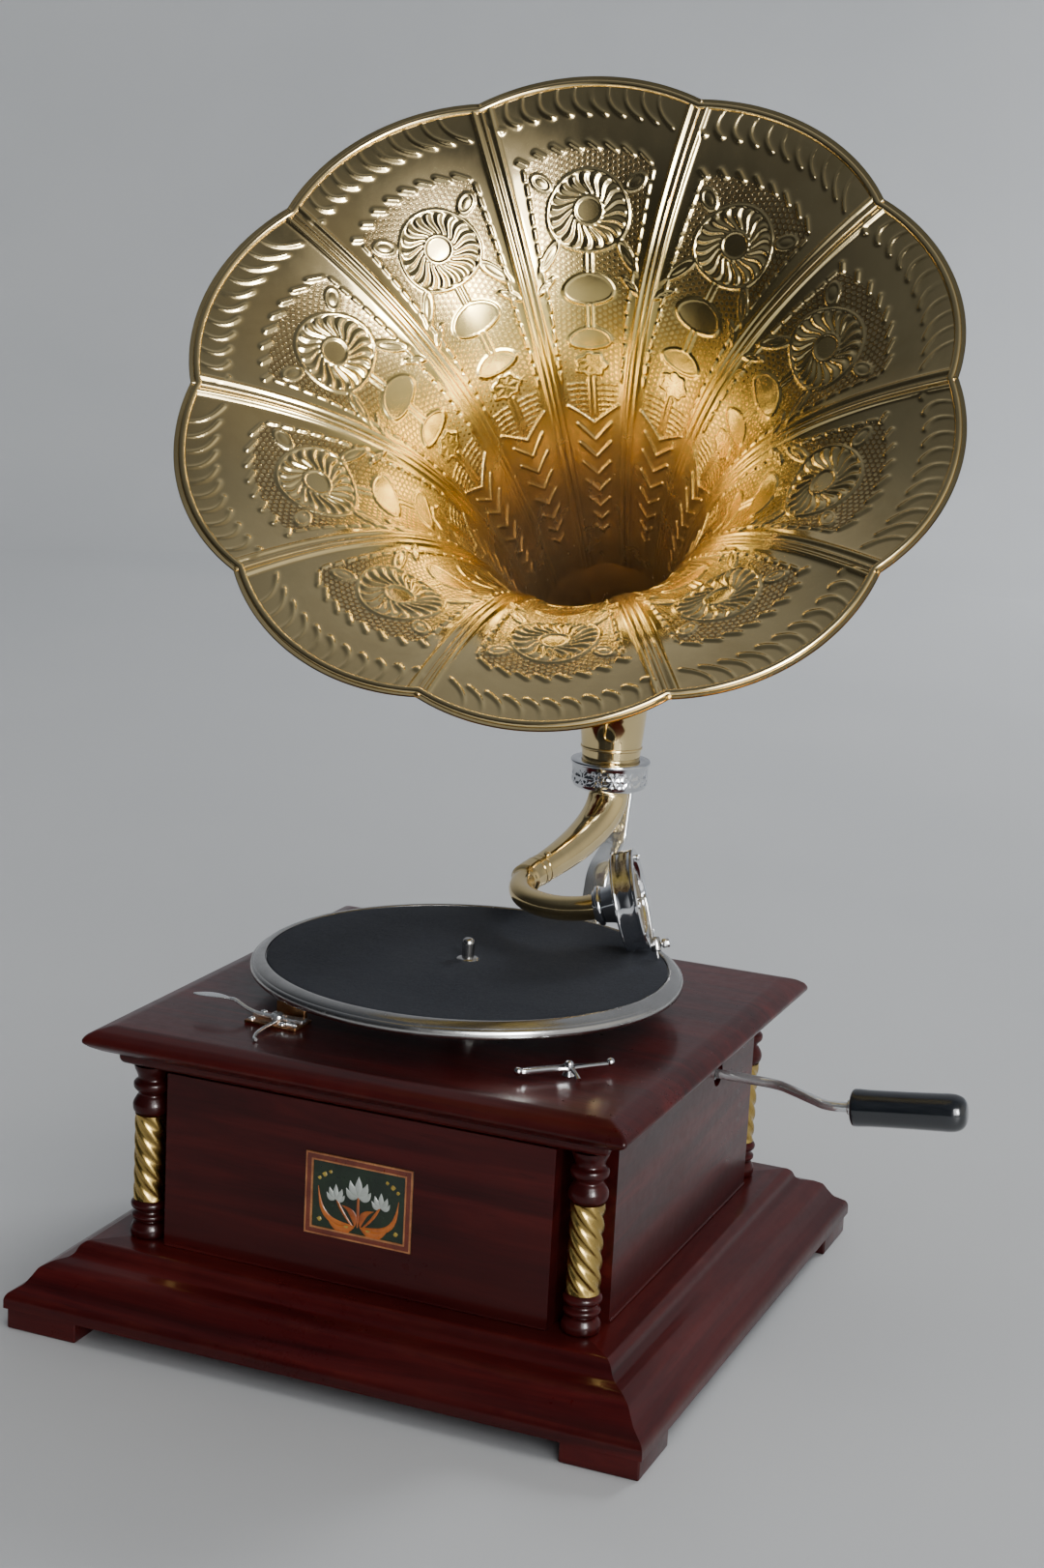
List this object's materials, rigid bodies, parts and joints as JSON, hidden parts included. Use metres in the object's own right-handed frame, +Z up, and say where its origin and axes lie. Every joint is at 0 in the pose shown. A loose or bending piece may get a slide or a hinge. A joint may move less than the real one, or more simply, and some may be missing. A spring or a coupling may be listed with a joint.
{
  "type": "table gramophone",
  "caption": "Square wooden wind-up record player with a felt turntable, swinging tone arm, side crank and a large petalled brass horn on a back bracket.",
  "frame": {"origin": "under the middle of the whole object's box, on the surface that the feet stand on", "axes": "+Z up, the front of the cabinet faces -Y, the crank comes out towards +X"},
  "size_m": [0.4846, 0.4184, 0.6967],
  "materials": {
    "mahogany": "deep red-brown gloss lacquer",
    "sleeve_brass": "polished",
    "horn_brass": "polished and embossed",
    "gear_brass": "machined",
    "chrome": "polished plating",
    "nickel": "polished nickel plating",
    "steel": "machined",
    "felt": "short dark felt",
    "black_gloss": "gloss black lacquer",
    "mica": "pale translucent sheet"
  },
  "bodies": {
    "cabinet": {"base_rail_front": "mahogany", "base_rail_right": "mahogany", "base_rail_back": "mahogany", "base_rail_left": "mahogany", "bottom_board": "mahogany", "foot_front_right": "mahogany", "foot_back_right": "mahogany", "foot_back_left": "mahogany", "foot_front_left": "mahogany", "front_panel": "mahogany", "back_panel": "mahogany", "right_panel": "mahogany", "left_panel": "mahogany", "lid": "mahogany", "column_front_right": "mahogany", "column_back_right": "mahogany", "column_back_left": "mahogany", "column_front_left": "mahogany", "sleeve_front_right": "sleeve_brass", "sleeve_back_right": "sleeve_brass", "sleeve_back_left": "sleeve_brass", "sleeve_front_left": "sleeve_brass", "motor_frame": "steel", "crank_bush": "chrome", "bracket_arm": "chrome", "bracket_bolt_1": "chrome", "bracket_bolt_2": "chrome", "horn_socket": "chrome", "brake_plate": "steel"},
    "turntable": {"platter": "nickel", "felt": "felt", "spindle": "steel"},
    "spring_barrel": {"spring_barrel": "steel", "mainspring": "steel"},
    "barrel_arbor": {"barrel_arbor": "steel"},
    "intermediate_wheel": {"intermediate_wheel": "gear_brass"},
    "governor": {"governor": "gear_brass"},
    "crank": {"crank_arm": "chrome", "winding_shaft": "steel"},
    "crank_grip": {"crank_handle": "black_gloss"},
    "horn": {"horn_elbow": "horn_brass", "horn_petal_1": "horn_brass", "horn_petal_2": "horn_brass", "horn_petal_3": "horn_brass", "horn_petal_4": "horn_brass", "horn_petal_5": "horn_brass", "horn_petal_6": "horn_brass", "horn_petal_7": "horn_brass", "horn_petal_8": "horn_brass", "horn_petal_9": "horn_brass", "horn_petal_10": "horn_brass"},
    "tone_arm": {"tone_arm": "horn_brass"},
    "sound_box": {"gooseneck": "horn_brass", "soundbox_body": "chrome", "diaphragm": "mica", "stylus_bar": "chrome", "needle": "steel"},
    "needle_screw": {"needle_screw": "chrome"},
    "brake": {"brake_lever": "chrome"},
    "speed_control": {"speed_lever": "chrome"}
  },
  "joints": [
    {"name": "turntable_spin", "type": "hinge", "parent": "cabinet", "child": "turntable", "pos_m": [-0.05328, -0.02015, 0.19], "axis": [0, 0, 1], "continuous": true},
    {"name": "barrel_turn", "type": "hinge", "parent": "cabinet", "child": "spring_barrel", "pos_m": [-0.08728, 0.02785, 0.11], "axis": [0, 0, 1], "continuous": true},
    {"name": "intermediate_turn", "type": "hinge", "parent": "cabinet", "child": "intermediate_wheel", "pos_m": [-0.05282, 0.00385, 0.1], "axis": [0, 0, 1], "continuous": true},
    {"name": "governor_turn", "type": "hinge", "parent": "cabinet", "child": "governor", "pos_m": [-0.05328, -0.03865, 0.1155], "axis": [1, 0, 0], "continuous": true},
    {"name": "crank_turn", "type": "hinge", "parent": "cabinet", "child": "crank", "pos_m": [0.08772, 0.02785, 0.138], "axis": [1, 0, 0], "continuous": true},
    {"name": "arbor_turn", "type": "hinge", "parent": "cabinet", "child": "barrel_arbor", "pos_m": [-0.08728, 0.02785, 0.135], "axis": [0, 0, 1], "continuous": true},
    {"name": "grip_spin", "type": "hinge", "parent": "crank", "child": "crank_grip", "pos_m": [0.17861, -0.01254, 0.14675], "axis": [0.9921, 0.0694, 0.1043], "continuous": true},
    {"name": "horn_swivel", "type": "hinge", "parent": "cabinet", "child": "horn", "pos_m": [-0.04628, 0.17985, 0.281], "axis": [0, 0, 1], "range_deg": [-75, 75]},
    {"name": "tone_arm_swing", "type": "hinge", "parent": "cabinet", "child": "tone_arm", "pos_m": [-0.04628, 0.17985, 0.262], "axis": [0, 0, 1], "range_deg": [-28, 26]},
    {"name": "sound_box_flip", "type": "hinge", "parent": "tone_arm", "child": "sound_box", "pos_m": [-0.05948, 0.09285, 0.2228], "axis": [-0.2401, -0.9557, -0.1702], "range_deg": [0, 150]},
    {"name": "needle_screw_turn", "type": "hinge", "parent": "sound_box", "child": "needle_screw", "pos_m": [0.04282, 0.04051, 0.20606], "axis": [0.9285, 0.2662, 0.2588], "range_deg": [0, 180]},
    {"name": "brake_swing", "type": "hinge", "parent": "cabinet", "child": "brake", "pos_m": [-0.12528, -0.11615, 0.174], "axis": [0, 0, 1], "range_deg": [-12, 12]},
    {"name": "speed_swing", "type": "hinge", "parent": "cabinet", "child": "speed_control", "pos_m": [0.04872, -0.11415, 0.175], "axis": [0, 0, 1], "range_deg": [-30, 30]}
  ],
  "couplings": [
    {"joint": "intermediate_turn", "follows": "turntable_spin", "ratio": -0.33333},
    {"joint": "barrel_turn", "follows": "turntable_spin", "ratio": 0.055556},
    {"joint": "governor_turn", "follows": "turntable_spin", "ratio": 14},
    {"joint": "arbor_turn", "follows": "crank_turn", "ratio": 0.4}
  ]
}
